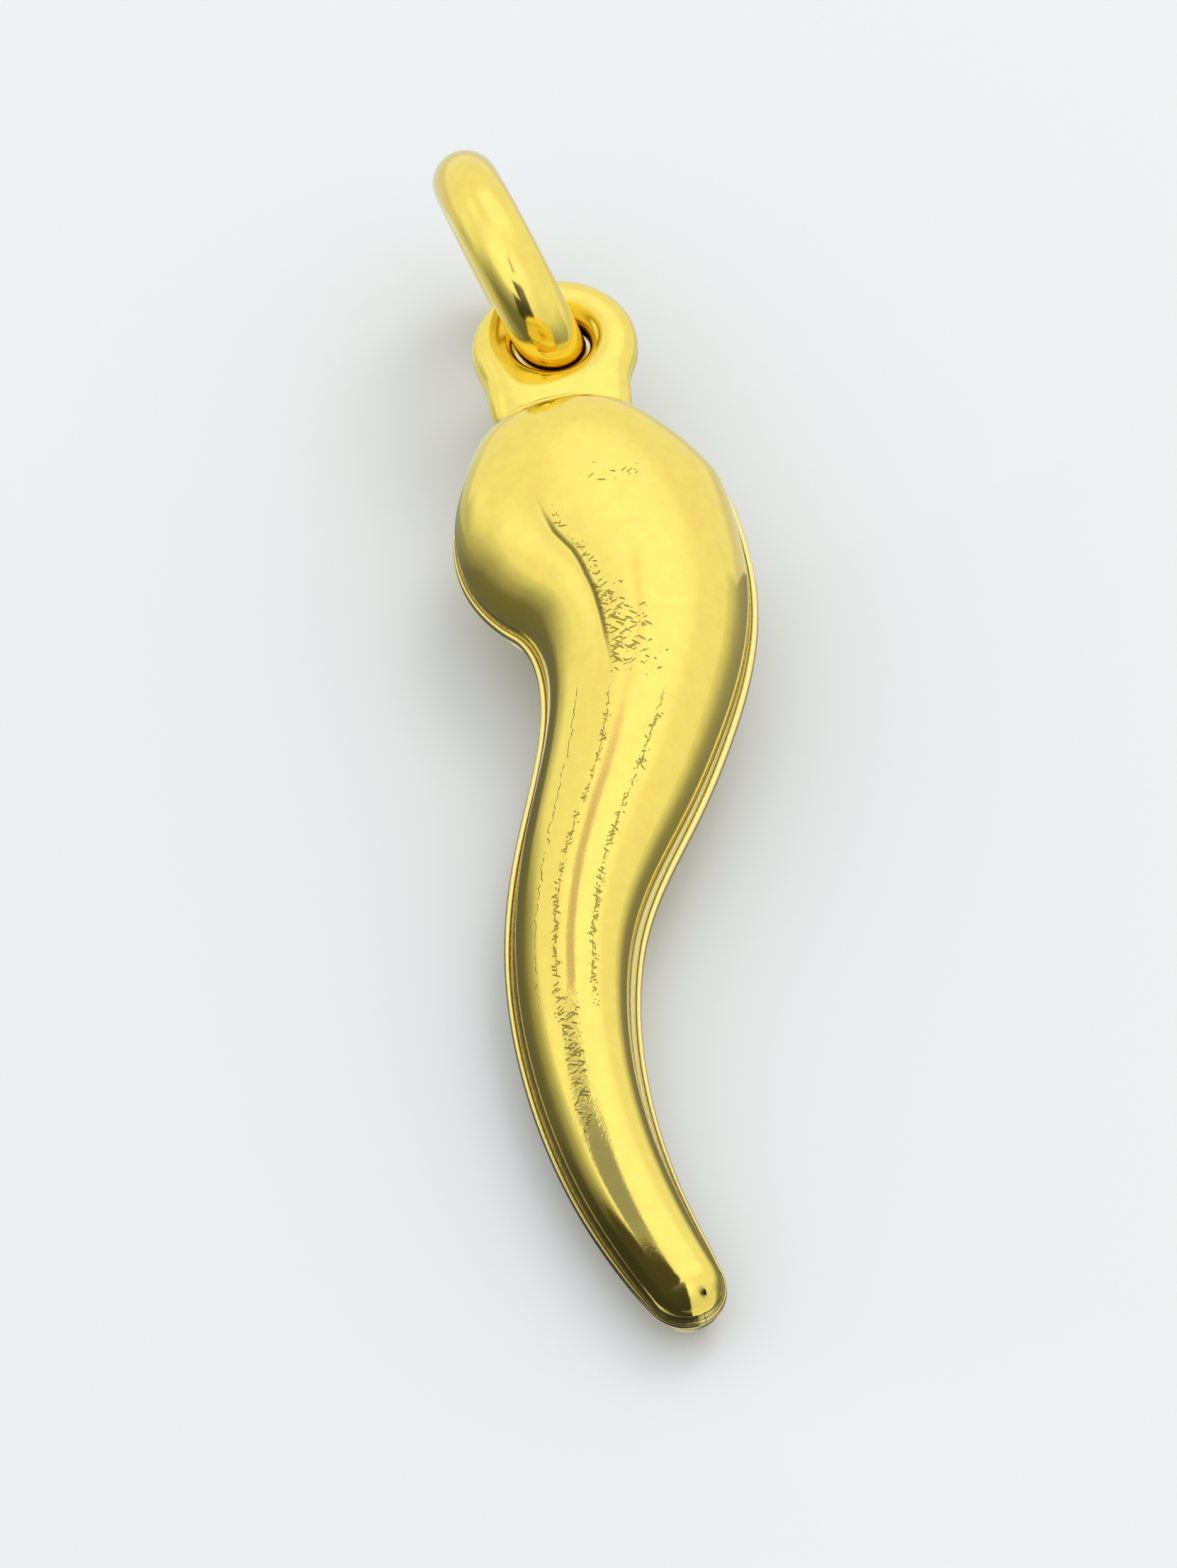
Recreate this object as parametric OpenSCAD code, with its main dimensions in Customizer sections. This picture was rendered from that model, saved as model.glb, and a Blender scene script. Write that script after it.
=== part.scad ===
// Italian horn pendant lying on its back: a hollow horn of two stamped shells with its eye,
// and one jump ring through the eye. Millimetres, +Y from the tip to the eye, +Z up.

/* [Horn] */
// Size of the whole pendant against the one drawn
size = 1; // [0.6:0.05:2]
// Wall of the stamped shells
wall = 0.22; // [0.15:0.01:0.4]
// Fullness of the cross-section, 2 is an ellipse and more is squarer
fullness = 2.15; // [1.8:0.05:3]
// How far the seam flange stands out
flange_out = 0.2; // [0.05:0.01:0.4]
// Thickness of the seam flange
flange_thick = 0.2; // [0.1:0.01:0.5]
// Diameter of the vent hole in the tip
vent_d = 0.16; // [0.1:0.01:0.4]

/* [Eye] */
// Outer diameter of the eye
eye_od = 3.5; // [2.6:0.05:5]
// Diameter of the hole in the eye
eye_hole = 1.7; // [1.2:0.02:3]
// Thickness of the eye
eye_thick = 0.98; // [0.5:0.02:1.6]

/* [Jump ring] */
// Outer diameter of the jump ring
ring_od = 5.7; // [5:0.1:8]
// Wire of the jump ring
ring_wire = 1.35; // [0.8:0.05:1.4]
// How far the ring is turned away from the horn's length
ring_turn = 14; // [-10:1:25]
// How far the ring leans to the left
ring_lean = 18; // [0:1:25]

/* [Lying] */
// How much higher the eye lies than the tip, in degrees
horn_pitch = 3.9; // [0:0.1:8]
// How much the right side is raised, in degrees
horn_roll = 3.5; // [-6:0.5:6]

/* [Hidden] */

// The form of the horn: evenly spaced sections that the surface follows smoothly.
// Columns: place along the horn, centre to the side, half width, height of the front shell
// and of the back shell over the seam.
along = 0;
aside = 1;
half = 2;
front = 3;
back = 4;
form = [
    [12.8, -0.58, 1.92, 1.85, 1.80],
    [11.2, -0.48, 1.96, 1.90, 1.85],
    [9.6, -0.30, 2.08, 1.98, 1.95],
    [8.0, -0.03, 2.50, 2.10, 2.05],
    [6.4, 0.30, 2.84, 2.12, 2.08],
    [4.8, 0.77, 2.42, 2.08, 2.02],
    [3.2, 0.85, 2.04, 1.95, 1.88],
    [1.6, 0.48, 1.76, 1.75, 1.70],
    [0.0, -0.09, 1.57, 1.55, 1.50],
    [-1.6, -0.83, 1.37, 1.40, 1.36],
    [-3.2, -1.37, 1.20, 1.30, 1.25],
    [-4.8, -1.60, 1.09, 1.20, 1.16],
    [-6.4, -1.62, 0.98, 1.12, 1.08],
    [-8.0, -1.45, 0.89, 1.06, 1.02],
    [-9.6, -1.09, 0.79, 0.96, 0.92],
    [-11.2, -0.51, 0.67, 0.86, 0.82],
    [-12.8, 0.18, 0.56, 0.74, 0.70],
    [-14.4, 0.75, 0.48, 0.66, 0.62],
];
form_step = 1.6;
wide_end = 9.9;
tip_end = -12.2;
// How long the rounding of each end is
wide_round = 2.6;
tip_round = 0.65;
eye_y = 11.7;

steps = 56;
sides = 36;

// Smooth value of one column of the form at a place y along the horn
function soft(a, b, c, d, f) =
    (a * pow(1 - f, 3) + b * (3 * pow(f, 3) - 6 * f * f + 4)
    + c * (3 * f + 3 * f * f - 3 * pow(f, 3) + 1) + d * pow(f, 3)) / 6;
function at(y, col) =
    let (t = (form[1][along] - y) / form_step,
         i = max(0, min(len(form) - 4, floor(t))))
    soft(form[i][col], form[i + 1][col], form[i + 2][col], form[i + 3][col], t - i);

// Share of the full section left by the rounded ends, in a loft grown by g all round
function ends(y, g) =
    let (a = max(0, min(1, (wide_end + g - y) / (wide_round + g))),
         b = max(0, min(1, (y - tip_end + g) / (tip_round + g))))
    sqrt(max(0, 1 - pow(1 - a, 2))) * pow(max(0, 1 - pow(1 - b, 2.2)), 1 / 2.2);

// Places of the sections, closer together at both ends
function places(n, g) =
    [for (k = [0:n - 1])
        let (u = k / (n - 1), s = 0.6 * (1 - cos(180 * u)) / 2 + 0.4 * u)
        wide_end + g - 0.012 - (wide_end - tip_end + 2 * g - 0.024) * s];

function power(v, e) = sign(v) * pow(abs(v), e);
function lean_of(y) = (at(y + 0.05, aside) - at(y - 0.05, aside)) / 0.1;

// One closed section across the horn at y, as points [across, up]
function shell_outline(y, g) =
    let (k = ends(y, g), w = (at(y, half) + g) * k,
         f = (at(y, front) + g) * k, b = (at(y, back) + g) * k)
    [for (j = [0:sides - 1])
        let (a = 360 * (j + 0.5) / sides)
        [w * power(cos(a), 2 / fullness), (sin(a) > 0 ? f : b) * power(sin(a), 2 / fullness)]];
function flange_outline(y, g) =
    let (w = (at(y, half) + g) * ends(y, g), v = flange_thick / 2, c = min(0.05, w / 3))
    [[w, -v + c], [w, v - c], [w - c, v], [c - w, v], [-w, v - c], [-w, c - v], [c - w, -v], [w - c, -v]];

// A section set across the horn's curved centre line
function set_across(outline, y) =
    let (m = lean_of(y), l = sqrt(1 + m * m))
    [for (q = outline) [at(y, aside) + q[0] / l, y - q[0] * m / l, q[1]]];

function shell_points(n, g) = [for (y = places(n, g)) each set_across(shell_outline(y, g), y)];
function flange_points(n, g) = [for (y = places(n, g)) each set_across(flange_outline(y, g), y)];

module loft(points, n, m) {
    polyhedron(points, concat(
        [[for (k = [0:m - 1]) k]],
        [for (i = [0:n - 2], k = [0:m - 1], t = [0, 1])
            let (a = i * m + k, b = i * m + (k + 1) % m, c = b + m, d = a + m)
            t == 0 ? [a, d, c] : [a, c, b]],
        [[for (k = [m - 1:-1:0]) (n - 1) * m + k]]));
}

// How the horn lies on the surface, and where the middle of the whole pendant is
function tilt(p) =
    let (x = p[0] * cos(horn_roll) - p[2] * sin(horn_roll),
         z = p[0] * sin(horn_roll) + p[2] * cos(horn_roll))
    [x, p[1] * cos(horn_pitch) - z * sin(horn_pitch), p[1] * sin(horn_pitch) + z * cos(horn_pitch)];
outer_points = shell_points(steps, 0);
lying = [for (p = concat(outer_points, flange_points(steps, flange_out))) tilt(p)];
horn_z = -min([for (p = lying) p[2]]);

ring_r = (ring_od - ring_wire) / 2;
ring_x = -0.6;
ring_y = 13.75;
ring_z = ring_r * cos(ring_lean) + ring_wire / 2;
ring_reach = ring_wire / 2 + ring_r * sqrt(1 - pow(cos(ring_lean) * sin(ring_turn), 2));
middle_x = (min([for (p = lying) p[0]]) + max([for (p = lying) p[0]])) / 2;
middle_y = (min([for (p = lying) p[1]]) + ring_y + ring_reach) / 2;

module eye() {
    mid = (eye_od + eye_hole) / 4;
    half_width = (eye_od - eye_hole) / 4;
    translate([0, eye_y, 0]) rotate_extrude($fn = 56)
        polygon([for (k = [0:19])
            let (a = 18 * k)
            [mid + half_width * power(cos(a), 2 / 2.5), eye_thick / 2 * power(sin(a), 2 / 2.5)]]);
    // foot of the eye, running into the wide end of the horn
    difference() {
        hull() {
            for (s = [-1, 1]) {
                translate([s * 1.02, eye_y - 1.0, 0]) sphere(r = 0.42, $fn = 16);
                translate([s * 0.78, eye_y - 2.1, 0]) sphere(r = 0.42, $fn = 16);
            }
        }
        translate([0, eye_y, -1]) cylinder(r = mid, h = 2, $fn = 56);
    }
}

module horn() {
    color("Gold")
    translate([-middle_x, -middle_y, horn_z] * size)
    scale(size)
    rotate([horn_pitch, 0, 0]) rotate([0, -horn_roll, 0])
    difference() {
        union() {
            loft(outer_points, steps, sides);
            loft(flange_points(steps, flange_out), steps, 8);
            eye();
        }
        loft(shell_points(26, -wall), 26, sides);
        // vent through the tip
        translate([at(-11, aside), -11, 0.15]) rotate([94, 0, 24]) cylinder(d = vent_d, h = 3, $fn = 10);
    }
}

module jump_ring() {
    color("Khaki")
    scale(size)
    translate([ring_x - middle_x, ring_y - middle_y, ring_z])
    rotate([0, 0, ring_turn]) rotate([0, 90 - ring_lean, 0])
        rotate_extrude($fn = 96) translate([ring_r, 0]) circle(d = ring_wire, $fn = 32);
}

horn();
jump_ring();
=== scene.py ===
import math

import bpy
import numpy as np
from mathutils import Matrix, Vector


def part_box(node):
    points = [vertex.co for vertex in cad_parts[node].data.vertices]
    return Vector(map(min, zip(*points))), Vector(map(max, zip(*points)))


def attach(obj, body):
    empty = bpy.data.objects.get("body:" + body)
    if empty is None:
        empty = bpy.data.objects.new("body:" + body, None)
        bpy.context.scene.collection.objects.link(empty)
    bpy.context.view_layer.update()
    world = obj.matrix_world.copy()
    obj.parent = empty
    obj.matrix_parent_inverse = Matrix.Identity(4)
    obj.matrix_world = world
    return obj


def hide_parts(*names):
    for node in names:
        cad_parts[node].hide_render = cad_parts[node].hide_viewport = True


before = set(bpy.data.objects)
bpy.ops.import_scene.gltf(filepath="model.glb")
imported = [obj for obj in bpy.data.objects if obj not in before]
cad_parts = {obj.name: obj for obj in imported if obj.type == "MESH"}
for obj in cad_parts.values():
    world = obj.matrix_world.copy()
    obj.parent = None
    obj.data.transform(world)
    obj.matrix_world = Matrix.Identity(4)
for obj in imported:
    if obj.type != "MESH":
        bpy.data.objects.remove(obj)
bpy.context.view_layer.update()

mm = 0.001
scene = bpy.context.scene
scene.view_settings.view_transform = "Standard"  # keeps the gold's full yellow in the highlights
print("frame loaded")


def linearColour(hexText):
    # sRGB hex to the linear values that shaders and lamps take
    parts = [int(hexText[i:i + 2], 16) / 255 for i in (1, 3, 5)]
    return [c / 12.92 if c <= 0.04045 else ((c + 0.055) / 1.055) ** 2.4 for c in parts] + [1.0]


def newTree(owner):
    # an empty node tree for a material or the world
    owner.use_nodes = True
    owner.node_tree.nodes.clear()
    return owner.node_tree


def addNode(tree, kind, inputs=None, **settings):
    # one node: each input is a value, an output to link, or a node whose first output is linked
    node = tree.nodes.new("ShaderNode" + kind)
    for name, value in settings.items():
        setattr(node, name, value)
    for name, value in (inputs or {}).items():
        if isinstance(value, bpy.types.Node):
            value = value.outputs[0]
        if isinstance(value, bpy.types.NodeSocket):
            tree.links.new(value, node.inputs[name])
        else:
            node.inputs[name].default_value = value
    return node


def newObject(name, points, faces, material):
    mesh = bpy.data.meshes.new(name)
    mesh.from_pydata(points, [], faces)
    mesh.materials.append(material)
    mesh.polygons.foreach_set("use_smooth", [True] * len(mesh.polygons))
    obj = bpy.data.objects.new(name, mesh)
    scene.collection.objects.link(obj)
    return obj


# the gold of the whole pendant, what polishing, filing and wearing have left on it, and the painted shade in
# its crease, vent, rim and seam groove
goldLook = {
    "gold": "#F4DD70",                      # 18 carat yellow gold
    "worn": "#EFD06B", "wornShare": 0.7,    # a little redder where it is rubbed, and how much of it at most
    "seam": "#F2E2A4", "seamShare": 0.7,    # the solder along the seam is paler
    "darkShadeAndScratches": "#33290F", "scratchDull": 0.62,     # painted shade in the crease, the vent, the rim's steps and the seam groove; scratches take less of the same dark
    "roughness": (0.08, 0.125),             # polished by hand, not quite a mirror: clear and satin patches
    "grainRoughness": 0.02,                 # what the finest pits give or take
    "fileRoughness": 0.12,                  # what the file marks add
    # patterns: size in mm, detail and roughness
    "ripple": (1.1, 1.0, 0.5),              # slow waviness of stamped sheet
    "mottle": (0.35, 3.0, 0.6),             # satin patches left by the polish
    "grain": (0.06, 3.0, 0.7),              # finest pits and scratches, drawn coarser than real to show
    "file": (0.09, 2.0, 0.6),               # file marks on the rim
    "scatter": (1 / 7, 1.0, 0.5),           # bunches of scratches
    "wander": (0.25, 1.5, 0.7),             # how the chains of scratches wander
    # the part of a pattern's values over which it acts
    "usual": {"From Min": 0.3, "From Max": 0.7},            # what most of a pattern lies between
    "wornFrom": {"From Min": 0.35, "From Max": 0.75},
    "swayFrom": {"From Min": 0.2, "From Max": 0.8},
    "brokenFrom": {"From Min": 0.40, "From Max": 0.50},     # chains run only where the bunches are
    # heights and depths in mm
    "rippleHeight": 0.005, "grainHeight": 0.001, "fileHeight": 0.012, "scratchDepth": 0.014,
    # hairlines: the room of one along and across in mm, where its edge lies in that room, the two ways
    # they lie in radians with a shift that keeps the two apart, and the share kept where least and most
    # rubbed
    "strokeMm": (0.42, 0.075), "strokeEdge": (0.17, 0.28), "strokeWays": ((0.5, 0.0), (-0.45, 7.3)),
    "strokeShare": (-0.29, 0.80), "bunching": 0.3, "strokeFade": 0.02,
    # chains of scratches beside the ridge: half widths, and how far they sway, in mm
    "chainHalf": (0.018, 0.024, 0.012), "chainSway": 0.06,
}


def scratchMarks(tree, look, noise, lay, rubbed, lines, chained):
    # 1 in the scratches of handling and 0 between them
    bunched = addNode(tree, "MapRange", {"Value": noise["scatter"], **look["usual"],
                                         "To Min": -look["bunching"], "To Max": look["bunching"]})
    few, many = look["strokeShare"]
    share = addNode(tree, "Math", {0: bunched, 1: addNode(tree, "MapRange", {
        "Value": rubbed, "To Min": few, "To Max": many})}, operation="ADD")
    split = addNode(tree, "SeparateXYZ", {"Vector": lay})
    flat = addNode(tree, "CombineXYZ", {"X": split.outputs["X"], "Y": split.outputs["Y"]})
    # hairlines: short strokes lying aslant the horn's length, close together where it is rubbed
    hairs = 0.0
    for turn, shift in look["strokeWays"]:
        aslant = addNode(tree, "Mapping", {
            "Vector": flat, "Location": (shift, shift, 0), "Rotation": (0, 0, turn),
            "Scale": (*look["strokeMm"], 1.0)}, vector_type="TEXTURE")
        cells = addNode(tree, "TexVoronoi", {"Vector": aslant, "Scale": 1.0}, voronoi_dimensions="2D")
        inner, outer = look["strokeEdge"]
        stroke = addNode(tree, "MapRange", {
            "Value": cells, "From Min": inner, "From Max": outer, "To Min": 1.0, "To Max": 0.0})
        left = addNode(tree, "Math", {0: share, 1: cells.outputs["Color"]}, operation="SUBTRACT")
        kept = addNode(tree, "MapRange", {"Value": left, "From Max": look["strokeFade"]})
        stroke = addNode(tree, "Math", {0: stroke, 1: kept}, operation="MULTIPLY")
        hairs = addNode(tree, "Math", {0: hairs, 1: stroke}, operation="MAXIMUM")
    # chains of fine scratches that run down both sides of the ridge, broken into short lengths
    sway = addNode(tree, "MapRange", {"Value": noise["wander"], **look["swayFrom"],
                                      "To Min": -look["chainSway"], "To Max": look["chainSway"]})
    lines = addNode(tree, "SeparateXYZ", {"Vector": lines})
    chains = 0.0
    for line, half in zip(lines.outputs, look["chainHalf"]):
        away = addNode(tree, "Math", {0: line, 1: sway}, operation="ADD")
        away = addNode(tree, "Math", {0: away}, operation="ABSOLUTE")
        chain = addNode(tree, "MapRange", {"Value": away, "From Max": half, "To Min": 1.0, "To Max": 0.0})
        chains = addNode(tree, "Math", {0: chains, 1: chain}, operation="MAXIMUM")
    broken = addNode(tree, "MapRange", {"Value": noise["scatter"], **look["brokenFrom"]})
    for part in (broken, chained):
        chains = addNode(tree, "Math", {0: chains, 1: part}, operation="MULTIPLY")
    return addNode(tree, "Math", {0: hairs, 1: chains}, operation="MAXIMUM")


def polishedStampedGold(name, look, handled):
    # 18 carat gold stamped from sheet and polished by hand: clear reflections with soft wavy edges, faint
    # satin patches and fine pits; handled adds the horn's scratches, its filed rim, its paler seam and
    # painted shade darkening its crease, vent, rim steps and seam groove
    material = bpy.data.materials.new(name)
    tree = newTree(material)
    place = addNode(tree, "TexCoord").outputs["Object"]
    patterns = [("ripple", place, mm), ("mottle", place, mm), ("grain", place, mm)]
    if handled:
        lay, finish, lines = [addNode(tree, "Attribute", attribute_name=key).outputs["Vector"]
                              for key in ("hornPlace", "hornFinish", "hornChains")]
        patterns += [("file", place, mm), ("scatter", lay, 1), ("wander", lay, 1)]
    noise = {}
    for key, vector, unit in patterns:
        size, detail, rough = look[key]
        noise[key] = addNode(tree, "TexNoise", {
            "Vector": vector, "Scale": 1 / (size * unit), "Detail": detail, "Roughness": rough})
    clear, satin = look["roughness"]
    patches = addNode(tree, "MapRange", {"Value": noise["mottle"], **look["usual"],
                                         "To Min": clear, "To Max": satin})
    pits = addNode(tree, "MapRange", {"Value": noise["grain"], **look["usual"],
                                      "To Min": -look["grainRoughness"], "To Max": look["grainRoughness"]})
    haze = addNode(tree, "Math", {0: patches, 1: pits}, operation="ADD")
    height = addNode(tree, "Math", {0: noise["grain"], 1: look["grainHeight"] * mm}, operation="MULTIPLY")
    worn = addNode(tree, "MapRange", {"Value": noise["mottle"], **look["wornFrom"],
                                      "To Max": look["wornShare"]})
    layers = [(worn, look["worn"])]
    if handled:
        rubbed = addNode(tree, "SeparateXYZ", {"Vector": lay}).outputs["Z"]       # -1 on the rim
        filed, paintedShade, chained = addNode(tree, "SeparateXYZ", {"Vector": finish}).outputs
        marks = scratchMarks(tree, look, noise, lay, rubbed, lines, chained)
        rough = addNode(tree, "Math", {0: noise["file"], 1: filed}, operation="MULTIPLY")
        height = addNode(tree, "Math", {0: marks, 1: -look["scratchDepth"] * mm, 2: height},
                         operation="MULTIPLY_ADD")
        height = addNode(tree, "Math", {0: rough, 1: look["fileHeight"] * mm, 2: height},
                         operation="MULTIPLY_ADD")
        haze = addNode(tree, "Math", {0: filed, 1: look["fileRoughness"], 2: haze}, operation="MULTIPLY_ADD")
        seam = addNode(tree, "MapRange", {"Value": rubbed, "From Min": -1.0, "From Max": 0.0,
                                          "To Min": look["seamShare"], "To Max": 0.0})
        # painted shade: the crease, the vent, the rim's steps and the seam groove take the dark colour, and
        # the scratches take less of it
        darkShadeAndScratches = addNode(tree, "Math", {0: marks, 1: look["scratchDull"]}, operation="MULTIPLY")
        darkShadeAndScratches = addNode(tree, "Math", {0: darkShadeAndScratches, 1: paintedShade}, operation="MAXIMUM")
        layers += [(seam, look["seam"]), (darkShadeAndScratches, look["darkShadeAndScratches"])]
    colour = linearColour(look["gold"])
    for share, tint in layers:
        mixed = addNode(tree, "Mix", {0: share, 6: colour, 7: linearColour(tint)}, data_type="RGBA")
        colour = mixed.outputs[2]
    waves = addNode(tree, "Bump", {"Height": noise["ripple"], "Strength": 1.0,
                                   "Distance": look["rippleHeight"] * mm})
    fine = addNode(tree, "Bump", {"Height": height, "Normal": waves, "Strength": 1.0, "Distance": 1.0})
    shader = addNode(tree, "BsdfPrincipled", {
        "Metallic": 1.0, "Base Color": colour, "Roughness": haze, "Normal": fine})
    addNode(tree, "OutputMaterial", {"Surface": shader})
    return material


hornGold = polishedStampedGold("polishedStampedGold", goldLook, True)
wireGold = polishedStampedGold("polishedGoldWire", goldLook, False)
print("gold made")

# the horn: two stamped shells on a seam, in mm; a place along is higher towards the eye
horn = {
    # place along, centre to the side, half width, height of the front and of the back shell over the seam,
    # and how far the rim stands out on the left and on the right
    "form": [
        (12.8, -0.60, 2.04, 1.85, 1.80, 0.03, 0.03),
        (11.2, -0.52, 2.00, 1.90, 1.85, 0.03, 0.03),
        (9.6, -0.45, 2.12, 1.98, 1.95, 0.03, 0.03),
        (8.0, -0.12, 2.38, 2.10, 2.05, 0.04, 0.04),
        (6.4, 0.16, 3.07, 2.12, 2.14, 0.08, 0.12),
        (4.8, 0.85, 2.44, 2.08, 1.90, 0.13, 0.17),
        (3.2, 0.87, 2.06, 1.95, 1.78, 0.15, 0.18),
        (1.6, 0.50, 1.76, 1.75, 1.60, 0.17, 0.20),
        (0.0, -0.10, 1.58, 1.55, 1.50, 0.18, 0.22),
        (-1.6, -0.84, 1.36, 1.40, 1.36, 0.21, 0.22),
        (-3.2, -1.37, 1.17, 1.30, 1.25, 0.23, 0.23),
        (-4.8, -1.60, 1.08, 1.20, 1.16, 0.21, 0.22),
        (-6.4, -1.62, 0.98, 1.12, 1.08, 0.20, 0.22),
        (-8.0, -1.45, 0.90, 1.06, 1.02, 0.19, 0.20),
        (-9.6, -1.09, 0.82, 0.96, 0.92, 0.17, 0.18),
        (-11.2, -0.50, 0.72, 0.86, 0.82, 0.14, 0.14),
        (-12.8, 0.20, 0.60, 0.76, 0.72, 0.10, 0.12),
        (-14.4, 0.78, 0.52, 0.68, 0.64, 0.10, 0.10),
    ],
    "step": 1.6,
    "wideEnd": 9.9, "wideRound": 2.7,
    "tipEnd": -12.27, "tipRound": 0.65, "tipFullness": 2.2,
    "frontEnd": 9.3, "frontRound": 2.4, "frontBlunt": 4,        # the front shell ends blunter at the wide end
    "fullness": 2.2, "backFullness": 1.75, "backInset": 0.1,    # the back shell is a little leaner
    "pitch": 3.9, "roll": 3.5,          # how it lies, in degrees
    "middle": (0.221, 2.059),           # middle of the whole pendant, from where the places are measured
    "sections": (110, 260, 70),         # at the wide end, along the horn and at the tip
    "acrossFront": 124, "acrossBack": 40,
    "dense": (2.2, 113, 7),             # closer columns by the crease: how much, middle and reach in degrees
    # the ridge down the front: place along, place across
    "ridge": [(8, -0.3), (1.2, -0.40), (-0.9, -0.14), (-2.4, -0.02), (-4.7, 0.02), (-6, 0.0), (-12, -0.2)],
    # the crease on the front of the wide end: place along, share of the half width
    "crease": [(6.5, -0.40), (5.66, -0.43), (5.06, -0.41), (4.21, -0.42), (3.3, -0.39), (2.5, -0.34),
               (1.8, -0.26)],
    "creaseRun": (1.5, 3.0, 5.6, 6.6),  # starts, full, fades, gone, as every run below
    # the crease's depth and width in mm, and how much painted shade darkens it
    "creaseDepth": 0.05, "creaseWidth": 0.05, "creaseShade": 0.85,
    "creaseSwell": (0.3, 0.30, 0.3),    # sunk a little to the right of it: how much, how far off, reach
    "vent": (-12.08, 0.10, 0.06), "ventDepth": 0.05,    # mark of the vent, a shallow dent darkened with painted shade: place along, across, and how wide
    # chains of scratches beside the ridge: place along, distance from the ridge
    "chains": [
        [(0, 0.0), (-1.3, -0.13), (-2.4, -0.3), (-5, -0.31)],
        [(1.6, 1.15), (0.3, 0.92), (-1.0, 0.67), (-2.3, 0.51), (-5, 0.40)],
        [(0, -0.67), (-5, -0.70)],
    ],
    "chainRun": (-5.8, -4.6, 0.8, 1.8),
    # rubbed places of the front: how much, run along the horn, how far off the crease or ridge, and reach
    "wear": {
        "crease": {"run": (1.3, 2.2, 5.8, 6.6), "off": 0.16, "reach": [(6, 0.10), (2, 0.26)]},
        "below": {"share": 0.7, "run": (0.9, 2.4, 2.6, 4.4), "off": 0.6, "reach": 0.6},
        "band": {"share": 0.5, "along": 6.5, "lean": 0.3, "reach": 0.32, "across": 0.4, "half": 1.0},
        "chains": {"share": 0.85, "run": (-6.4, -5.2, 0.4, 1.6), "reach": 0.10},
        "patch": {"run": (-9.6, -7.2, -5.9, -5.0), "off": [(-6, -0.12), (-9.5, -0.26)], "reach": 0.2,
                  "filed": 1.6},
    },
    # the rim from the shell's foot out to the seam: share of its slope, share of its lip and a step, all of
    # its reach, then its height on the left and on the right as shares of half its thickness, how filed
    # and how much painted shade darkens it
    "rim": [
        (0.0, 0.0, 0.0, 0.99, 0.66, 0.0, 0.85),
        (0.06, 0.0, 0.0, 0.93, 0.60, 1.0, 0.6),
        (0.30, 0.0, 0.0, 0.78, 0.54, 1.0, 0.15),
        (0.62, 0.0, 0.0, 0.53, 0.44, 1.0, 0.15),
        (0.93, 0.0, 0.0, 0.27, 0.32, 1.0, 0.15),
        (1.0, 0.0, 0.0, 0.20, 0.27, 1.0, 0.9),
        (1.0, 0.0, 0.04, 0.20, 0.27, 1.0, 0.9),
        (1.0, 0.0, 0.09, 0.30, 0.30, 0.8, 0.1),
        (1.0, 0.25, 0.0, 0.32, 0.32, 0.6, 0.0),
        (1.0, 0.6, 0.0, 0.31, 0.31, 0.6, 0.0),
        (1.0, 0.86, 0.0, 0.25, 0.25, 0.6, 0.0),
        (1.0, 1.0, 0.0, 0.14, 0.14, 0.4, 0.0),
        (1.0, 0.96, 0.0, 0.05, 0.05, 0.0, 0.5),
    ],
    "rimThick": 0.52,
    "rimSlope": [(3, 0.25), (-4, 0.52)],    # share of the rim's reach that slopes down: place along, share
    "rimAtTip": (0.5, 1.3),             # how much narrower it is at the very tip, and from how far
    "rimMeet": (0.1, 1.4),              # how near to an end the two sides' rims become one
    # the seam groove's depth in mm, and how much painted shade darkens it
    "seamGroove": 0.04, "seamShade": 0.8,
}


def lineAt(line, y):
    # values at places y along a line of (place along, value) that runs from the eye to the tip
    points = np.array(line)[::-1]
    return np.interp(y, points[:, 0], points[:, 1])


def smoothStep(x, low, high):
    t = np.clip((x - low) / (high - low), 0, 1)
    return t * t * (3 - 2 * t)


def between(y, start, full, fade, gone):
    # 1 from full to fade, running smoothly down to 0 at start and at gone
    return smoothStep(y, start, full) * smoothStep(-y, -gone, -fade)


def hump(x, middle, reach, power=2):
    # 1 in the middle and soft to 0 on both sides; a higher power makes it flatter with steeper sides
    return np.exp(-((x - middle) / reach) ** power)


def formAt(y):
    # smooth values of the form's columns at places y along the horn
    form = np.array(horn["form"])
    t = (form[1, 0] - y) / horn["step"]
    i = np.clip(np.floor(t).astype(int), 0, len(form) - 4)
    f = (t - i)[:, None]
    weights = ((1 - f) ** 3, 3 * f ** 3 - 6 * f ** 2 + 4, 3 * f + 3 * f ** 2 - 3 * f ** 3 + 1, f ** 3)
    return sum(w * form[i + k] for k, w in enumerate(weights)) / 6


def roundedEnd(away, length, fullness):
    # share of the full size left at a distance away from an end that rounds off over a length
    a = np.clip(away / length, 0, 1)
    return np.clip(1 - (1 - a) ** fullness, 0, 1) ** (1 / fullness)


def endShare(y):
    # share of the section's full size left by the rounding of both ends
    return (roundedEnd(horn["wideEnd"] - y, horn["wideRound"], 2)
            * roundedEnd(y - horn["tipEnd"], horn["tipRound"], horn["tipFullness"]))


def frontShare(y):
    # share of the front shell's height left by them
    blunt = roundedEnd(horn["frontEnd"] - y, horn["frontRound"], horn["frontBlunt"])
    return np.where(y > 0, blunt, endShare(y))


def placesAlong():
    # places of the sections, from the eye to the tip, closer together over the rounding of each end
    first, middle, last = horn["sections"]
    nearEnd = 0.003     # radians: the outermost section is all but a point
    wide, tip = [np.linspace(nearEnd, math.pi / 2, k) for k in (first, last)]
    wide = horn["wideEnd"] - horn["wideRound"] * (1 - np.cos(wide))
    tip = horn["tipEnd"] + horn["tipRound"] * (1 - np.cos(tip[::-1]) ** (2 / horn["tipFullness"]))
    return np.concatenate([wide, np.linspace(wide[-1], tip[0], middle + 2)[1:-1], tip])


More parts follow.
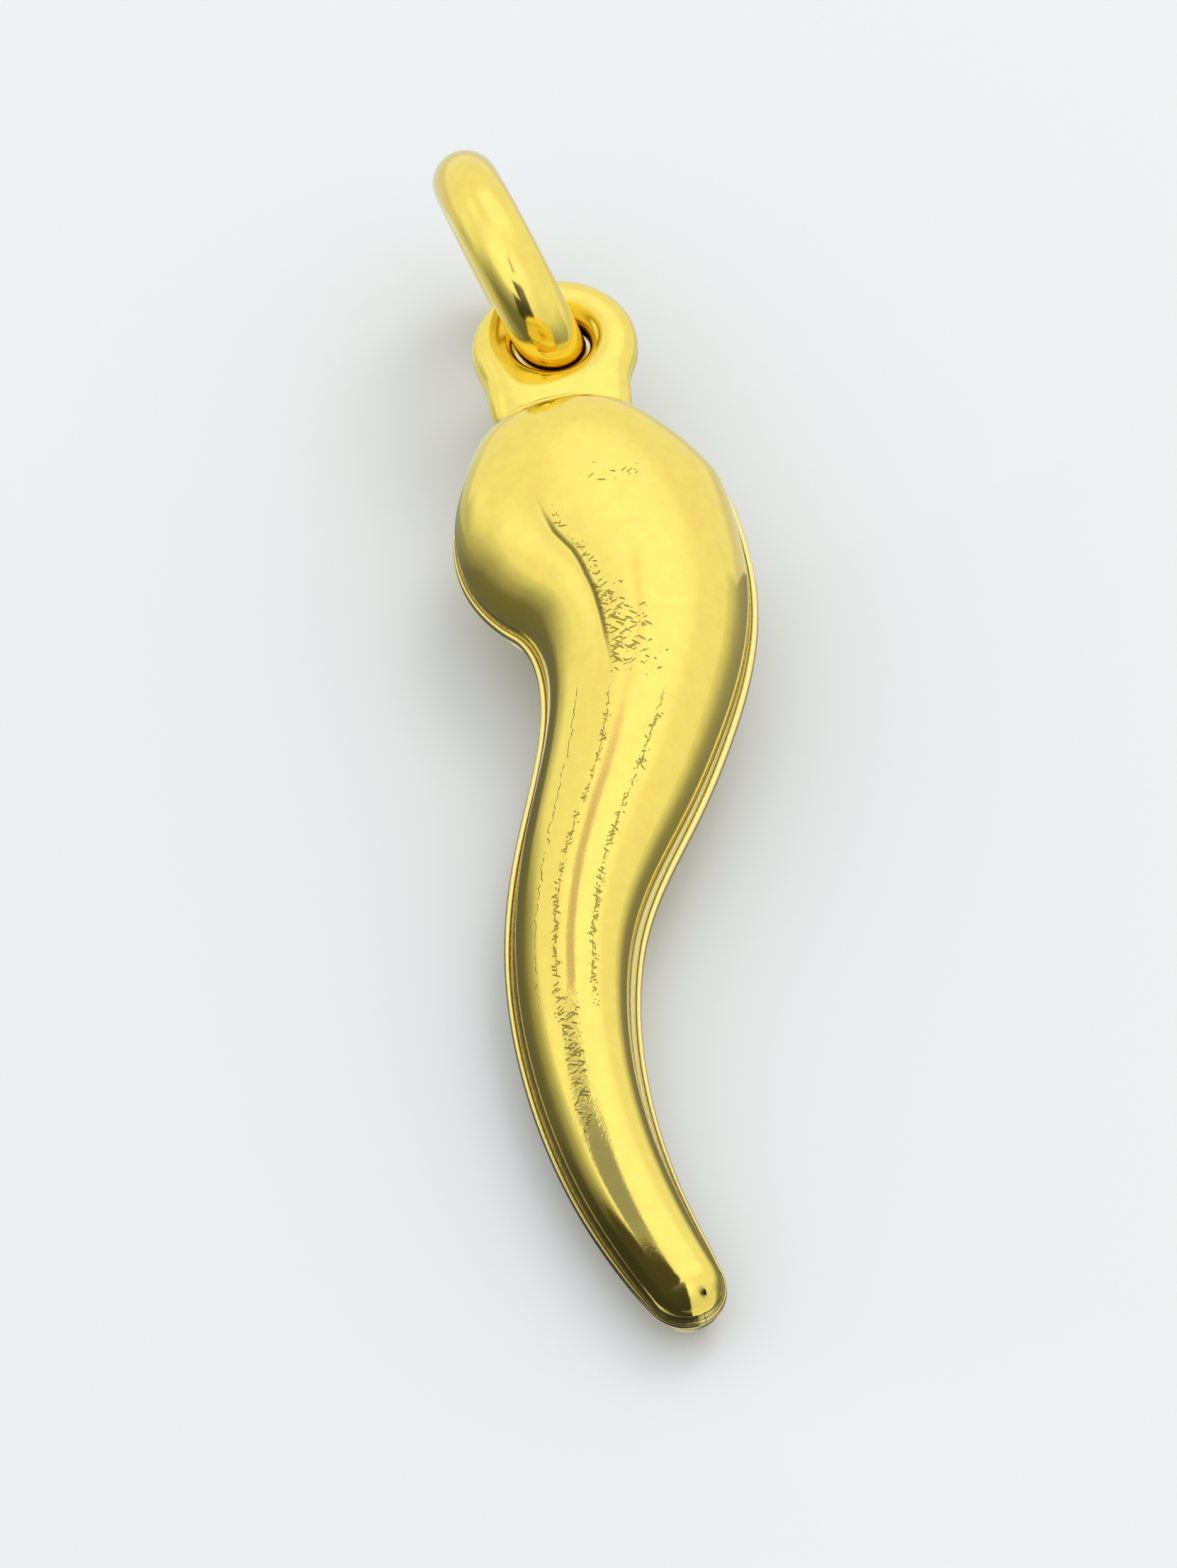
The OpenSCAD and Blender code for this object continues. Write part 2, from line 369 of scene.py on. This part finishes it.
def rubbedAt(y, across, offCrease, offRidge, chainAt):
    # how rubbed one column of the front is, and how much of that is the patch with file marks low down
    crease, below, band, chains, patch = horn["wear"].values()
    rubbed = hump(offCrease, crease["off"], lineAt(crease["reach"], y)) * (offCrease > 0)
    rubbed *= between(y, *crease["run"])
    rubbed += below["share"] * hump(offCrease, below["off"], below["reach"]) * between(y, *below["run"])
    rubbed += (band["share"] * hump(y + band["lean"] * across, band["along"], band["reach"])
               * hump(across, band["across"], band["half"], 4))
    rubbed += (chains["share"] * sum(hump(offRidge, c, chains["reach"]) for c in chainAt[:2])
               * between(y, *chains["run"]))
    filed = between(y, *patch["run"]) * hump(offRidge, lineAt(patch["off"], y), patch["reach"], 4)
    return np.clip(rubbed + filed, 0, 1), filed * patch["filed"]


def hornPoints():
    # points of the closed sections, and for the finish: distance from the ridge, place along, how rubbed,
    # how filed, how much painted shade darkens it, and where the scratch chains run
    y = placesAlong()
    n, top, tip = len(y), y[0], y[-1]
    share = endShare(y)
    aside, halfWidth, frontHeight, backHeight, outLeft, outRight = formAt(y).T[1:]
    slope = (formAt(y + 0.01)[:, 1] - formAt(y - 0.01)[:, 1]) / 0.02
    side = np.stack([np.ones(n), -slope], 1) / np.sqrt(1 + slope ** 2)[:, None]     # unit vector across
    centre = np.stack([aside, y], 1)
    w = halfWidth * share
    half = horn["rimThick"] / 2
    ridge, creaseAt = lineAt(horn["ridge"], y), lineAt(horn["crease"], y) * w
    creaseFade, alongChains = between(y, *horn["creaseRun"]), between(y, *horn["chainRun"])
    chainAt = [lineAt(chain, y) for chain in horn["chains"]]
    meet = 1 - smoothStep(np.minimum(top - y, y - tip), *horn["rimMeet"])
    points, places, finish, chains = [], [], [], []

    # each column also carries how much painted shade darkens it
    def addColumn(plan, z, across, rubbed=0, filed=0, shadeShare=0, chained=0):
        fill = np.zeros(n)
        points.append(np.column_stack([plan, z + fill]))
        places.append(np.column_stack([across - ridge, y, rubbed + fill]))
        chains.append(np.column_stack([across - ridge - c for c in chainAt]))
        finish.append(np.column_stack([filed + fill, shadeShare + fill, chained + fill]))

    def section(angles, fullness):
        return zip(np.sign(np.cos(angles)) * np.abs(np.cos(angles)) ** (2 / fullness),
                   np.abs(np.sin(angles)) ** (2 / fullness))

    def addFront():
        # columns from the right over the front to the left, closer together by the crease
        more, middle, reach = horn["dense"]
        angles = np.linspace(0, np.pi, 2000)
        dense = np.cumsum(1 + more * hump(np.degrees(angles), middle, reach))
        angles = np.interp(np.linspace(dense[0], dense[-1], horn["acrossFront"]), dense, angles)
        rise = np.maximum(0, frontHeight * frontShare(y) - half)
        sunk, swellOff, swellReach = horn["creaseSwell"]
        ventAlong, ventAcross, ventWide = horn["vent"]
        for u, v in section(angles, horn["fullness"]):
            across = w * u
            offCrease = across - creaseAt
            narrow = hump(offCrease, 0, horn["creaseWidth"]) * creaseFade
            swell = hump(offCrease, swellOff, swellReach) * sunk * creaseFade
            vent = hump(y, ventAlong, ventWide) * hump(across, ventAcross, ventWide)
            rubbed, filed = rubbedAt(y, across, offCrease, across - ridge, chainAt)
            z = half + rise * v - (narrow + swell) * horn["creaseDepth"] - horn["ventDepth"] * vent
            # painted shade darkens the crease line and the vent
            addColumn(centre + side * across[:, None], z, across, rubbed, filed,
                      np.maximum(horn["creaseShade"] * narrow, vent), alongChains)

    def addBack():
        rise = np.maximum(0, backHeight * share - half)
        width = w - horn["backInset"] * np.minimum(1, w)
        for u, v in section(np.linspace(np.pi, 0, horn["acrossBack"]), horn["backFullness"]):
            addColumn(centre + side * (width * u)[:, None], -(half + rise * v), width * u)

    def addRim(sign, rising):
        edge = centre + sign * side * w[:, None]
        run = np.gradient(edge, axis=0)
        run /= np.linalg.norm(run, axis=1)[:, None]
        outward = np.stack([-run[:, 1], run[:, 0]], 1) * sign
        for end, way in ((0, 1), (-1, -1)):                 # both sides meet at each end
            outward[end] = np.array([-side[end][1], side[end][0]]) * way
        narrower, near = horn["rimAtTip"]
        out = (outLeft if sign < 0 else outRight) * (1 - narrower * (1 - smoothStep(y - tip, 0, near)))
        band = lineAt(horn["rimSlope"], y)
        outline = []
        for slopeShare, lipShare, step, left, right, filed, shadeShare in horn["rim"]:
            own, other = (left, right) if sign < 0 else (right, left)
            outline.append((out * (slopeShare * band + lipShare * (1 - band) + step),
                            own + (other - own) / 2 * meet, filed, shadeShare))
        under = [(reach, -height, filed, shadeShare) for reach, height, filed, shadeShare in reversed(outline)]
        # the seam groove, darkened with painted shade
        outline += [(out - horn["seamGroove"], 0.0, 0.0, horn["seamShade"])] + under
        for reach, height, filed, shadeShare in (reversed(outline) if rising else outline):
            addColumn(edge + outward * reach[:, None], half * height, sign * (w + reach), -1, filed, shadeShare)

    addFront()
    addRim(-1, False)
    addBack()
    addRim(1, True)
    return [np.stack(columns, 1) for columns in (points, places, finish, chains)]


def skinned(name, rings, capped, material):
    # quads from ring to ring of points, with a face over each end or on from the last ring to the first
    n, m = rings.shape[:2]
    faces = []
    for i in range(n - 1 if capped else n):
        for k in range(m):
            a, b = i * m + k, i * m + (k + 1) % m
            c, d = (i + 1) % n * m + (k + 1) % m, (i + 1) % n * m + k
            faces.append((a, b, c, d) if capped else (a, d, c, b))      # outwards in both
    if capped:
        faces += [tuple(range(m - 1, -1, -1)), tuple(range((n - 1) * m, n * m))]
    return newObject(name, rings.reshape(-1, 3).tolist(), faces, material)


def layDown(points):
    # from the seam's plane to the way the horn lies
    roll, pitch = math.radians(horn["roll"]), math.radians(horn["pitch"])
    turn = Matrix.Rotation(pitch, 3, "X") @ Matrix.Rotation(-roll, 3, "Y")
    return points @ np.array(turn).T


def turnedRings(around, profileAt):
    # rings of points round Z, each from the profile of (radius, height) in its direction f
    rings = []
    for f in np.linspace(0, 2 * math.pi, around, endpoint=False):
        rings.append([(r * math.cos(f), r * math.sin(f), z) for r, z in profileAt(f)])
    return np.array(rings)


eye = {
    "outerMm": 3.5, "holeMm": 1.57, "thickMm": 0.98, "crestMm": 1.25,
    "holeShift": -0.05,                 # the hole lies a little to the right
    "centre": (0.03, 11.74, 0.0),
    "squareness": 2.25, "seamMm": 0.03,
    "foot": (1.57, 1.46, 2.3), "footSquareness": 6,     # half width on the left and right, and reach
    "footWithin": 75, "footBlend": 30,  # degrees from the horn's length, and how sharply it leaves the disc
    "around": 180, "section": 56,
}


def eyeProfile(f):
    e = 2 / eye["squareness"]
    down = math.degrees(abs((f - math.pi / 2) % (2 * math.pi) - math.pi))     # 0 towards the horn
    # the foot runs square towards the horn, and the eye's rounding carries on down over it
    left, right, reach = eye["foot"]
    n, outer, crest = eye["footSquareness"], eye["outerMm"] / 2, eye["crestMm"]
    if down < eye["footWithin"]:
        spread = abs(math.cos(f)) / (left if math.cos(f) < 0 else right)
        foot = (spread ** n + (max(0, -math.sin(f)) / reach) ** n) ** (-1 / n)
        outer = (outer ** eye["footBlend"] + foot ** eye["footBlend"]) ** (1 / eye["footBlend"])
    inner = eye["holeMm"] / 2 + eye["holeShift"] * math.cos(f)
    profile = []
    for k in range(eye["section"]):
        a = 2 * math.pi * k / eye["section"]
        c, s = math.cos(a), math.sin(a)
        r = crest + (outer - crest if c > 0 else crest - inner) * math.copysign(abs(c) ** e, c)
        z = eye["thickMm"] / 2 * math.copysign(abs(s) ** e, s)
        profile.append((r - eye["seamMm"] if k == 0 else r, z))
    return profile


solder = {
    "heightMm": 1.42, "from": -1.35, "to": 0.40, "thickMm": 0.19, "section": 16,
    "sections": (85, 90),       # of the horn's, the one that gives its height and how many are searched
    "ends": (0.04, 0.92),       # blunt ends: where on a half wave it starts, and how much of that it takes
    "swells": [(0.16, 9, 0.6), (0.08, 23, 0)],      # unevenness: how much, how often, where it starts
}


def solderPath(points):
    # along the left half of where the eye's foot meets the front shell
    full, last = solder["sections"]
    path = []
    top = points[full, :horn["acrossFront"], 2].max()
    for k in range(horn["acrossFront"]):
        column = points[:last, k]
        rising = np.maximum.accumulate(column[:, 2])
        height = solder["heightMm"] * (column[full, 2] / top)
        i = int(np.searchsorted(rising, height))
        if 0 < i < last - 1 and solder["from"] < column[i, 0] < solder["to"]:
            f = (height - rising[i - 1]) / max(1e-6, rising[i] - rising[i - 1])
            path.append(column[i - 1] * (1 - f) + column[i] * f)
    return np.array(path)


def solderPoints(path):
    # a bead that swells and thins a little along its length
    along = np.gradient(path, axis=0)
    along /= np.linalg.norm(along, axis=1)[:, None]
    up = np.array([0.0, 0.0, 1.0])
    start, length = solder["ends"]
    rings = []
    for i, place in enumerate(path):
        out = np.cross(along[i], up)
        out /= np.linalg.norm(out)
        u = i / (len(path) - 1)
        radius = solder["thickMm"] / 2 * math.sin(math.pi * (start + length * u)) ** 0.5 * (
            1 + sum(much * math.sin(often * u + shift) for much, often, shift in solder["swells"]))
        rings.append([place + (out * math.cos(a) + up * math.sin(a)) * radius
                      for a in np.linspace(0, 2 * math.pi, solder["section"], endpoint=False)])
    return np.array(rings)


body, places, finish, chains = hornPoints()
bead = layDown(solderPoints(solderPath(body)))
body, loop = layDown(body), layDown(turnedRings(eye["around"], eyeProfile) + np.array(eye["centre"]))
low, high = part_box("horn")
lowest = min(body[..., 2].min(), loop[..., 2].min())
shift = np.array([-horn["middle"][0], -horn["middle"][1], low[2] / mm - lowest])
hornBody = skinned("hornBody", (body + shift) * mm, True, hornGold)
for name, values in (("hornPlace", places), ("hornFinish", finish), ("hornChains", chains)):
    hornBody.data.attributes.new(name, "FLOAT_VECTOR", "POINT").data.foreach_set("vector", values.reshape(-1))
hornEye = skinned("hornEye", (loop + shift) * mm, False, wireGold)
hornSolder = skinned("hornSolder", (bead + shift) * mm, True, wireGold)
for piece in (hornBody, hornEye, hornSolder):
    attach(piece, "root")
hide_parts("horn")
print("horn made")

jumpRing = {
    "outerMm": 5.75, "wireMm": 1.40,
    "turn": 14, "lean": 18,             # degrees: away from the horn's length, and to the left
    "shiftMm": (-0.03, 0, 0.025),       # from the middle of its place in the frame, so that it just stands
    "around": 200, "section": 48,
}


def wireProfile(f):
    # round wire, the same in every direction f
    big, small = (jumpRing["outerMm"] - jumpRing["wireMm"]) / 2, jumpRing["wireMm"] / 2
    angles = [2 * math.pi * k / jumpRing["section"] for k in range(jumpRing["section"])]
    return [(big + small * math.cos(a), small * math.sin(a)) for a in angles]


turn = Matrix.Rotation(math.radians(jumpRing["turn"]), 3, "Z") @ \
    Matrix.Rotation(math.radians(90 - jumpRing["lean"]), 3, "Y")
points = turnedRings(jumpRing["around"], wireProfile) @ np.array(turn).T
low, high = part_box("jump_ring")
points = points * mm + np.array((Vector(low) + Vector(high)) / 2) + np.array(jumpRing["shiftMm"]) * mm
ringWire = skinned("jumpRing", points, False, wireGold)
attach(ringWire, "root")
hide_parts("jump_ring")
print("jump ring made")

# camera, from where the photo was taken: target and distance in mm, and its focal length in pixels
view = {
    "target": (-0.92, -2.06, 2.0), "azimuth": -7, "elevation": 49, "distance": 110,
    "pixels": 7865, "frameHeight": 2212, "sensorMm": 36, "clip": (0.005, 10),
}


def towards(azimuth, elevation):
    # unit vector from degrees: azimuth from +Y towards +X, and elevation
    a, e = math.radians(azimuth), math.radians(elevation)
    return Vector((math.sin(a) * math.cos(e), math.cos(a) * math.cos(e), math.sin(e)))


def placeCamera():
    back = towards(180 - view["azimuth"], view["elevation"])
    camera = bpy.data.objects.new("camera", bpy.data.cameras.new("camera"))
    scene.collection.objects.link(camera)
    camera.location = (Vector(view["target"]) + back * view["distance"]) * mm
    camera.rotation_euler = back.to_track_quat("Z", "Y").to_euler()
    camera.data.lens = view["pixels"] / view["frameHeight"] * view["sensorMm"]
    camera.data.sensor_width = view["sensorMm"]
    camera.data.clip_start, camera.data.clip_end = view["clip"]
    scene.camera = camera


placeCamera()

# soft daylight room: directions are (azimuth from +Y towards +X, elevation), in degrees
studio = {
    "floor": "#DBDBE1", "floorRoughness": 0.9, "floorHalf": 1.2,        # metres
    "sky": "#FCFFF6", "skyLevel": 1.05,
    "edge": (-0.30, -0.10),                         # sine of the height over which it begins
    "low": 0.84, "lowTo": (0.1, 0.72),              # it is a little dimmer near its edge
    "underFront": 0.05, "underBack": 0.78,          # light from below its edge, in front and at the back
    "backward": (0.35, 0.94, 0.0), "backFrom": (-0.6, 0.0),     # which way the back lies, and where it starts
    "windows": [
        {"toward": (30, 65), "inner": 8, "outer": 34, "level": 0.28},
        {"toward": (-160, 44), "inner": 15, "outer": 55, "level": 0.30},
        {"toward": (-66, 44), "inner": 3, "outer": 15, "level": 0.18}],
    "windowTint": "#D6E6FF",
    "lamp": {"place": (0.12, 0.16, 0.3), "size": 0.16, "level": 0.175},     # metres and watts
    # sheets that only the gold mirrors, as rows of corners in mm and how bright each corner is: a room that
    # is dim near the pendant on the left, on the right and in front, a hazy pane and a rosy card overhead
    "sheets": {
        "left": ("#F4FAF0", [
            [(-3.2, 16, 0, 1.0), (-14, 16, 0, 0.60), (-14, 16, 5, 1.15), (-14, 16, 9.5, 1.15)],
            [(-3.2, 10.2, 0, 0.80), (-14, 11, 0, 0.55), (-14, 11, 5, 1.05), (-14, 11, 9.5, 1.10)],
            [(-2.9, 8.4, 0, 0.40), (-14, 8.4, 0, 0.38), (-14, 8.4, 5, 0.75), (-14, 8.4, 9.5, 1.02)],
            [(-2.7, 5.5, 0, 0.17), (-14, 5, 0, 0.22), (-14, 5, 5, 0.50), (-14, 5, 9.5, 0.95)],
            [(-2.4, -9, 0, 0.12), (-14, -9, 0, 0.20), (-14, -9, 5, 0.48), (-14, -9, 9.5, 0.95)],
            [(-2.2, -12, 0, 0.05), (-14, -12, 0, 0.05), (-14, -12, 5, 0.08), (-14, -12, 10, 0.30)],
            [(-1.6, -17, 0, 0.05), (-14, -20, 0, 0.05), (-14, -20, 5, 0.06), (-14, -20, 12, 0.12)],
            [(-1.6, -30, 0, 0.05), (-14, -36, 0, 0.05), (-14, -36, 5, 0.06), (-14, -36, 14, 0.12)]]),
        "right": ("#F4FAF0", [
            [(2.6, 4.5, 0, 0.24), (8, 6.5, 0, 0.40), (14, 9, 0, 0.55), (14, 9, 2.5, 0.80),
             (14, 9, 4.5, 0.95)],
            [(-0.6, -13.6, 0, 0.20), (8, -14.5, 0, 0.36), (14, -16, 0, 0.50), (14, -16, 2.5, 0.75),
             (14, -16, 4.5, 0.95)],
            [(0.2, -15.2, 0, 0.95), (8, -17, 0, 0.95), (14, -19, 0, 0.95), (14, -19, 2.5, 0.95),
             (14, -19, 4.5, 0.95)],
            [(1.8, -20, 0, 0.95), (8, -22, 0, 0.95), (14, -24, 0, 0.95), (14, -24, 2.5, 0.95),
             (14, -24, 4.5, 0.95)]]),
        "front": ("#F4FAF0", [
            [(-9.5, -20, 0, 0.05), (1.9, -20, 0, 0.05)],
            [(-9.5, -20, 8, 0.06), (1.2, -20, 8, 0.06)],
            [(-14, -20, 24, 0.10), (0.2, -20, 24, 0.35)]]),
        "hazy": ("#F6EEE6", [
            [(0.7, 9.0, 16, 1.30), (1.8, 9.0, 16, 1.30)],
            [(-0.3, 7.2, 16, 1.22), (0.7, 7.2, 16, 1.22)],
            [(-1.1, 4.9, 16, 1.22), (-0.1, 4.9, 16, 1.22)],
            [(-2.5, 3.7, 16, 1.22), (-1.3, 3.7, 16, 1.22)]]),
        "rosy": ("#E6D6E8", [
            [(-2.6, 3.7, 16, 1.26), (-1.2, 3.7, 16, 1.26)],
            [(-2.8, 2.9, 16, 0.98), (-1.35, 2.6, 16, 0.98)],
            [(-3.2, 0.6, 16, 0.92), (-1.25, 0.4, 16, 0.92)],
            [(-4.0, -1.8, 16, 0.90), (-1.5, -1.8, 16, 0.90)]]),
    },
    # two dark cards close to the lower horn's left: their middle, which way they face, and their outlines
    "cardsMiddle": (-7.36, -6.29, 6.59), "cardsToward": (-65, 35),
    "cards": {
        "streak": ("#A0A6BC", [(-1.2, 2.4), (2.1, 0.8), (3.6, 1.0), (5.6, 2.2), (3.2, 5.8), (2.2, 7.7),
                               (-3.3, 8.1), (-4.5, 7.2)]),
        "tip": ("#46443E", [(5.8, -3.5), (5.7, 2.2), (3.3, 5.9), (2.5, 7.9), (3.2, 9.5), (6, 14), (12, 17),
                            (17, 15), (17, -8), (9, -7)]),
    },
}


def softRoom():
    world = bpy.data.worlds.new("softRoom")
    scene.world = world
    tree = newTree(world)
    ray = addNode(tree, "TexCoord").outputs["Generated"]
    up = addNode(tree, "SeparateXYZ", {"Vector": ray}).outputs["Z"]

    def facing(direction, low, high, toLow=0.0, toHigh=1.0):
        # runs smoothly from toLow to toHigh as the ray turns towards a direction, by the cosine between them
        cosine = addNode(tree, "VectorMath", {0: ray, 1: direction}, operation="DOT_PRODUCT").outputs["Value"]
        return addNode(tree, "MapRange", {"Value": cosine, "From Min": low, "From Max": high, "To Min": toLow,
                                          "To Max": toHigh}, interpolation_type="SMOOTHSTEP")

    under = facing(studio["backward"], *studio["backFrom"], studio["underFront"], studio["underBack"])
    sky = facing((0, 0, 1), *studio["edge"])
    low, high = studio["lowTo"]
    dim = addNode(tree, "MapRange", {"Value": up, "From Min": low, "From Max": high, "To Min": studio["low"]})
    sky = addNode(tree, "Math", {0: sky, 1: dim}, operation="MULTIPLY")
    level = addNode(tree, "Mix", {0: sky, 2: under, 3: studio["skyLevel"]}, data_type="FLOAT")
    shine = 0.0
    for item in studio["windows"]:
        outer, inner = [math.cos(math.radians(item[key])) for key in ("outer", "inner")]
        spot = facing(towards(*item["toward"]), outer, inner)
        shine = addNode(tree, "Math", {0: spot, 1: item["level"], 2: shine}, operation="MULTIPLY_ADD")
    lights = [addNode(tree, "Background", {"Color": linearColour(studio[tint]), "Strength": strength})
              for tint, strength in (("sky", level), ("windowTint", shine))]
    addNode(tree, "OutputWorld", {"Surface": addNode(tree, "AddShader", dict(enumerate(lights)))})


def paleFloor():
    paper = bpy.data.materials.new("paleMattPaper")
    tree = newTree(paper)
    shader = addNode(tree, "BsdfPrincipled", {"Base Color": linearColour(studio["floor"]),
                                              "Roughness": studio["floorRoughness"]})
    addNode(tree, "OutputMaterial", {"Surface": shader})
    s = studio["floorHalf"]
    floor = newObject("floor", [(-s, -s, 0), (s, -s, 0), (s, s, 0), (-s, s, 0)], [(0, 1, 2, 3)], paper)
    floor.visible_glossy = False      # the gold mirrors the dim room beside it instead of the pale floor


def softLamp():
    light = bpy.data.lights.new("softLamp", "AREA")
    light.shape = "DISK"
    light.size = studio["lamp"]["size"]
    light.energy = studio["lamp"]["level"]
    lamp = bpy.data.objects.new("softLamp", light)
    scene.collection.objects.link(lamp)
    lamp.location = studio["lamp"]["place"]
    lamp.rotation_euler = Vector(lamp.location).to_track_quat("Z", "Y").to_euler()
    lamp.visible_glossy = False       # it only softens the shadow


def seenInGold(name, tint, corners, faces):
    # a glowing sheet that only the gold's reflections see: corners in mm, each with how bright it is
    paint = bpy.data.materials.new(name + "Paint")
    tree = newTree(paint)
    bright = addNode(tree, "Attribute", attribute_name="bright").outputs["Fac"]
    glow = addNode(tree, "Emission", {"Color": linearColour(tint), "Strength": bright})
    addNode(tree, "OutputMaterial", {"Surface": glow})
    sheet = newObject(name, [[c * mm for c in corner[:3]] for corner in corners], faces, paint)
    sheet.data.attributes.new("bright", "FLOAT", "POINT").data.foreach_set("value", [c[3] for c in corners])
    sheet.visible_camera = sheet.visible_diffuse = sheet.visible_shadow = False


def sheetsInGold():
    for name, (tint, rows) in studio["sheets"].items():
        width = len(rows[0])
        faces = [(i + k, i + k + 1, i + k + width + 1, i + k + width)
                 for i in range(0, (len(rows) - 1) * width, width) for k in range(width - 1)]
        seenInGold(name + "Sheet", tint, sum(rows, []), faces)
    out = towards(*studio["cardsToward"])
    across = Vector((0, 0, 1)).cross(out).normalized()
    up = out.cross(across)
    for name, (tint, outline) in studio["cards"].items():
        corners = [(*(Vector(studio["cardsMiddle"]) + across * a + up * b), 1.0) for a, b in outline]
        seenInGold(name + "Card", tint, corners, [tuple(range(len(corners)))])


softRoom()
paleFloor()
softLamp()
sheetsInGold()
print("studio made")
